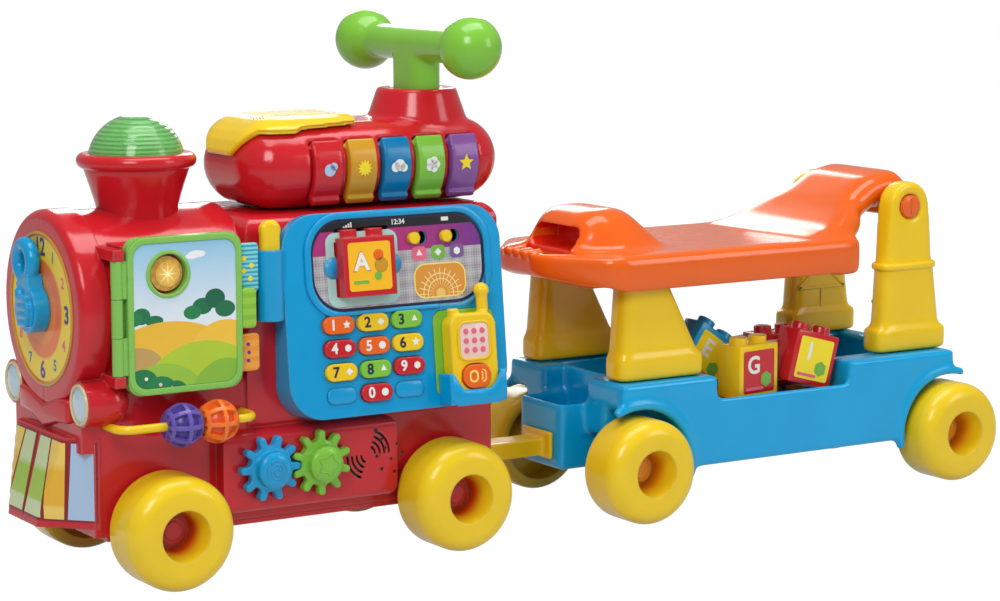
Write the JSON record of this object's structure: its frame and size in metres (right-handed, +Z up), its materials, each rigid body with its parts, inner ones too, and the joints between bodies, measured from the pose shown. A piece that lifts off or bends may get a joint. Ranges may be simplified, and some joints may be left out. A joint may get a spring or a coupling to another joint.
{
  "type": "ride-on toy train",
  "caption": "Ride-on activity train: a locomotive with play console, clock hand, book, gears and T-handle, hitched to a wagon with a flip-up seat and a bay of blocks.",
  "frame": {"origin": "middle of the bounding box on the floor plane", "axes": "+X along the train to its rear, -X to its front, -Y to the side with the controls, +Z up"},
  "size_m": [0.853, 0.213, 0.405],
  "materials": {
    "red_plastic": "gloss",
    "yellow_plastic": "gloss",
    "blue_plastic": "gloss",
    "green_plastic": "gloss",
    "orange_plastic": "gloss",
    "purple_plastic": "gloss",
    "screen_plastic": "gloss",
    "black_plastic": "gloss",
    "dome_plastic": "gloss",
    "amber_plastic": "gloss",
    "axle_steel": "satin",
    "board": "satin"
  },
  "bodies": {
    "locomotive": {"body_left_shell": "red_plastic", "body_right_shell": "red_plastic", "underside_tray": "red_plastic", "battery_door": "red_plastic", "loco_axles": "axle_steel", "roof_shell": "red_plastic", "roof_visor": "yellow_plastic", "handlebar": "green_plastic", "funnel": "red_plastic", "funnel_dome": "dome_plastic", "book_lamp": "amber_plastic", "bead_rod": "yellow_plastic", "speaker": "black_plastic", "circuit_board": "board", "console_panel": "blue_plastic", "console_screen": "screen_plastic", "phone_cradle": "green_plastic"},
    "wagon": {"wagon_tub": "blue_plastic", "front_posts": "yellow_plastic", "rear_posts": "yellow_plastic", "drawbar": "yellow_plastic", "cargo_blocks": "red_plastic", "wagon_axles": "axle_steel"},
    "loco_wheel_front_left": {"loco_wheel_front_left": "yellow_plastic"},
    "loco_wheel_front_right": {"loco_wheel_front_right": "yellow_plastic"},
    "loco_wheel_rear_left": {"loco_wheel_rear_left": "yellow_plastic"},
    "loco_wheel_rear_right": {"loco_wheel_rear_right": "yellow_plastic"},
    "wagon_wheel_front_left": {"wagon_wheel_front_left": "yellow_plastic"},
    "wagon_wheel_front_right": {"wagon_wheel_front_right": "yellow_plastic"},
    "wagon_wheel_rear_left": {"wagon_wheel_rear_left": "yellow_plastic"},
    "wagon_wheel_rear_right": {"wagon_wheel_rear_right": "yellow_plastic"},
    "seat": {"seat": "orange_plastic"},
    "clock_hand": {"clock_hand": "blue_plastic"},
    "book_cover": {"book_cover": "green_plastic"},
    "book_leaf": {"book_leaf": "yellow_plastic"},
    "bead_purple": {"bead_purple": "purple_plastic"},
    "bead_orange": {"bead_orange": "orange_plastic"},
    "gear_blue": {"gear_blue": "blue_plastic"},
    "gear_green": {"gear_green": "green_plastic"},
    "piano_key_1": {"piano_key_1": "red_plastic"},
    "piano_key_2": {"piano_key_2": "yellow_plastic"},
    "piano_key_3": {"piano_key_3": "blue_plastic"},
    "piano_key_4": {"piano_key_4": "green_plastic"},
    "piano_key_5": {"piano_key_5": "purple_plastic"},
    "mode_slider": {"mode_slider": "yellow_plastic"},
    "volume_slider": {"volume_slider": "yellow_plastic"},
    "whistle_lever": {"whistle_lever": "yellow_plastic"},
    "number_key_0": {"number_key_0": "red_plastic"},
    "number_key_1": {"number_key_1": "orange_plastic"},
    "number_key_2": {"number_key_2": "yellow_plastic"},
    "number_key_3": {"number_key_3": "green_plastic"},
    "number_key_4": {"number_key_4": "red_plastic"},
    "number_key_5": {"number_key_5": "orange_plastic"},
    "number_key_6": {"number_key_6": "yellow_plastic"},
    "number_key_7": {"number_key_7": "yellow_plastic"},
    "number_key_8": {"number_key_8": "green_plastic"},
    "number_key_9": {"number_key_9": "red_plastic"},
    "phone_handset": {"phone_handset": "yellow_plastic"},
    "phone_button": {"phone_button": "orange_plastic"},
    "letter_block": {"letter_block": "red_plastic"}
  },
  "joints": [
    {"name": "loco_wheel_front_left_spin", "type": "hinge", "parent": "locomotive", "child": "loco_wheel_front_left", "pos_m": [-0.3455, -0.084, 0.042], "axis": [0, 1, 0], "continuous": true},
    {"name": "loco_wheel_front_right_spin", "type": "hinge", "parent": "locomotive", "child": "loco_wheel_front_right", "pos_m": [-0.3455, 0.084, 0.042], "axis": [0, 1, 0], "continuous": true},
    {"name": "loco_wheel_rear_left_spin", "type": "hinge", "parent": "locomotive", "child": "loco_wheel_rear_left", "pos_m": [-0.1075, -0.084, 0.042], "axis": [0, 1, 0], "continuous": true},
    {"name": "loco_wheel_rear_right_spin", "type": "hinge", "parent": "locomotive", "child": "loco_wheel_rear_right", "pos_m": [-0.1075, 0.084, 0.042], "axis": [0, 1, 0], "continuous": true},
    {"name": "wagon_steer", "type": "hinge", "parent": "locomotive", "child": "wagon", "pos_m": [-0.0455, 0, 0.05], "axis": [0, 0, 1], "range_deg": [-25, 25]},
    {"name": "wagon_wheel_front_left_spin", "type": "hinge", "parent": "wagon", "child": "wagon_wheel_front_left", "pos_m": [0.0645, -0.084, 0.042], "axis": [0, 1, 0], "continuous": true},
    {"name": "wagon_wheel_front_right_spin", "type": "hinge", "parent": "wagon", "child": "wagon_wheel_front_right", "pos_m": [0.0645, 0.084, 0.042], "axis": [0, 1, 0], "continuous": true},
    {"name": "wagon_wheel_rear_left_spin", "type": "hinge", "parent": "wagon", "child": "wagon_wheel_rear_left", "pos_m": [0.3845, -0.084, 0.042], "axis": [0, 1, 0], "continuous": true},
    {"name": "wagon_wheel_rear_right_spin", "type": "hinge", "parent": "wagon", "child": "wagon_wheel_rear_right", "pos_m": [0.3845, 0.084, 0.042], "axis": [0, 1, 0], "continuous": true},
    {"name": "seat_flip", "type": "hinge", "parent": "wagon", "child": "seat", "pos_m": [0.3505, 0, 0.2345], "axis": [0, 1, 0], "range_deg": [0, 105]},
    {"name": "clock_hand_turn", "type": "hinge", "parent": "locomotive", "child": "clock_hand", "pos_m": [-0.4075, 0, 0.198], "axis": [1, 0, 0], "continuous": true},
    {"name": "book_cover_open", "type": "hinge", "parent": "locomotive", "child": "book_cover", "pos_m": [-0.3835, -0.07835, 0.1985], "axis": [0, 0, -1], "range_deg": [0, 160]},
    {"name": "book_leaf_open", "type": "hinge", "parent": "locomotive", "child": "book_leaf", "pos_m": [-0.3835, -0.07835, 0.1985], "axis": [0, 0, -1], "range_deg": [0, 80]},
    {"name": "bead_purple_spin", "type": "hinge", "parent": "locomotive", "child": "bead_purple", "pos_m": [-0.3375, -0.085, 0.119], "axis": [1, 0, 0], "continuous": true},
    {"name": "bead_orange_spin", "type": "hinge", "parent": "locomotive", "child": "bead_orange", "pos_m": [-0.3095, -0.085, 0.119], "axis": [1, 0, 0], "continuous": true},
    {"name": "gear_blue_spin", "type": "hinge", "parent": "locomotive", "child": "gear_blue", "pos_m": [-0.2635, -0.08, 0.078], "axis": [0, 1, 0], "continuous": true},
    {"name": "gear_green_spin", "type": "hinge", "parent": "locomotive", "child": "gear_green", "pos_m": [-0.2211, -0.08, 0.078], "axis": [0, 1, 0], "continuous": true},
    {"name": "piano_key_1_press", "type": "hinge", "parent": "locomotive", "child": "piano_key_1", "pos_m": [-0.2005, -0.04805, 0.30855], "axis": [1, 0, 0], "range_deg": [0, 4], "stiffness_Nm_per_rad": 0.3, "springref_deg": -5.73},
    {"name": "piano_key_2_press", "type": "hinge", "parent": "locomotive", "child": "piano_key_2", "pos_m": [-0.1709, -0.04805, 0.30855], "axis": [1, 0, 0], "range_deg": [0, 4], "stiffness_Nm_per_rad": 0.3, "springref_deg": -5.73},
    {"name": "piano_key_3_press", "type": "hinge", "parent": "locomotive", "child": "piano_key_3", "pos_m": [-0.1413, -0.04805, 0.30855], "axis": [1, 0, 0], "range_deg": [0, 4], "stiffness_Nm_per_rad": 0.3, "springref_deg": -5.73},
    {"name": "piano_key_4_press", "type": "hinge", "parent": "locomotive", "child": "piano_key_4", "pos_m": [-0.1117, -0.04805, 0.30855], "axis": [1, 0, 0], "range_deg": [0, 4], "stiffness_Nm_per_rad": 0.3, "springref_deg": -5.73},
    {"name": "piano_key_5_press", "type": "hinge", "parent": "locomotive", "child": "piano_key_5", "pos_m": [-0.0821, -0.04805, 0.30855], "axis": [1, 0, 0], "range_deg": [0, 4], "stiffness_Nm_per_rad": 0.3, "springref_deg": -5.73},
    {"name": "mode_slide", "type": "slide", "parent": "locomotive", "child": "mode_slider", "axis": [1, 0, 0], "range_m": [0, 0.008]},
    {"name": "volume_slide", "type": "slide", "parent": "locomotive", "child": "volume_slider", "axis": [1, 0, 0], "range_m": [0, 0.008]},
    {"name": "whistle_lever_tip", "type": "hinge", "parent": "locomotive", "child": "whistle_lever", "pos_m": [-0.259, -0.0722, 0.217], "axis": [0, 1, 0], "range_deg": [-8, 8], "stiffness_Nm_per_rad": 0.05},
    {"name": "number_key_0_press", "type": "slide", "parent": "locomotive", "child": "number_key_0", "axis": [0, 0.9936, -0.1132], "range_m": [0, 0.002], "stiffness_N_per_m": 300, "springref_m": -0.002},
    {"name": "number_key_1_press", "type": "slide", "parent": "locomotive", "child": "number_key_1", "axis": [0, 0.9936, -0.1132], "range_m": [0, 0.002], "stiffness_N_per_m": 300, "springref_m": -0.002},
    {"name": "number_key_2_press", "type": "slide", "parent": "locomotive", "child": "number_key_2", "axis": [0, 0.9936, -0.1132], "range_m": [0, 0.002], "stiffness_N_per_m": 300, "springref_m": -0.002},
    {"name": "number_key_3_press", "type": "slide", "parent": "locomotive", "child": "number_key_3", "axis": [0, 0.9936, -0.1132], "range_m": [0, 0.002], "stiffness_N_per_m": 300, "springref_m": -0.002},
    {"name": "number_key_4_press", "type": "slide", "parent": "locomotive", "child": "number_key_4", "axis": [0, 0.9936, -0.1132], "range_m": [0, 0.002], "stiffness_N_per_m": 300, "springref_m": -0.002},
    {"name": "number_key_5_press", "type": "slide", "parent": "locomotive", "child": "number_key_5", "axis": [0, 0.9936, -0.1132], "range_m": [0, 0.002], "stiffness_N_per_m": 300, "springref_m": -0.002},
    {"name": "number_key_6_press", "type": "slide", "parent": "locomotive", "child": "number_key_6", "axis": [0, 0.9936, -0.1132], "range_m": [0, 0.002], "stiffness_N_per_m": 300, "springref_m": -0.002},
    {"name": "number_key_7_press", "type": "slide", "parent": "locomotive", "child": "number_key_7", "axis": [0, 0.9936, -0.1132], "range_m": [0, 0.002], "stiffness_N_per_m": 300, "springref_m": -0.002},
    {"name": "number_key_8_press", "type": "slide", "parent": "locomotive", "child": "number_key_8", "axis": [0, 0.9936, -0.1132], "range_m": [0, 0.002], "stiffness_N_per_m": 300, "springref_m": -0.002},
    {"name": "number_key_9_press", "type": "slide", "parent": "locomotive", "child": "number_key_9", "axis": [0, 0.9936, -0.1132], "range_m": [0, 0.002], "stiffness_N_per_m": 300, "springref_m": -0.002},
    {"name": "phone_lift", "type": "slide", "parent": "locomotive", "child": "phone_handset", "axis": [0, 0.1132, 0.9936], "range_m": [0, 0.04]},
    {"name": "phone_button_press", "type": "slide", "parent": "phone_handset", "child": "phone_button", "axis": [0, 0.9936, -0.1132], "range_m": [0, 0.002], "stiffness_N_per_m": 300, "springref_m": -0.002},
    {"name": "letter_block_pull", "type": "slide", "parent": "locomotive", "child": "letter_block", "axis": [0, -0.9936, 0.1132], "range_m": [0, 0.06]}
  ],
  "couplings": [
    {"joint": "book_leaf_open", "follows": "book_cover_open", "ratio": 0.5},
    {"joint": "gear_green_spin", "follows": "gear_blue_spin", "ratio": -1}
  ]
}
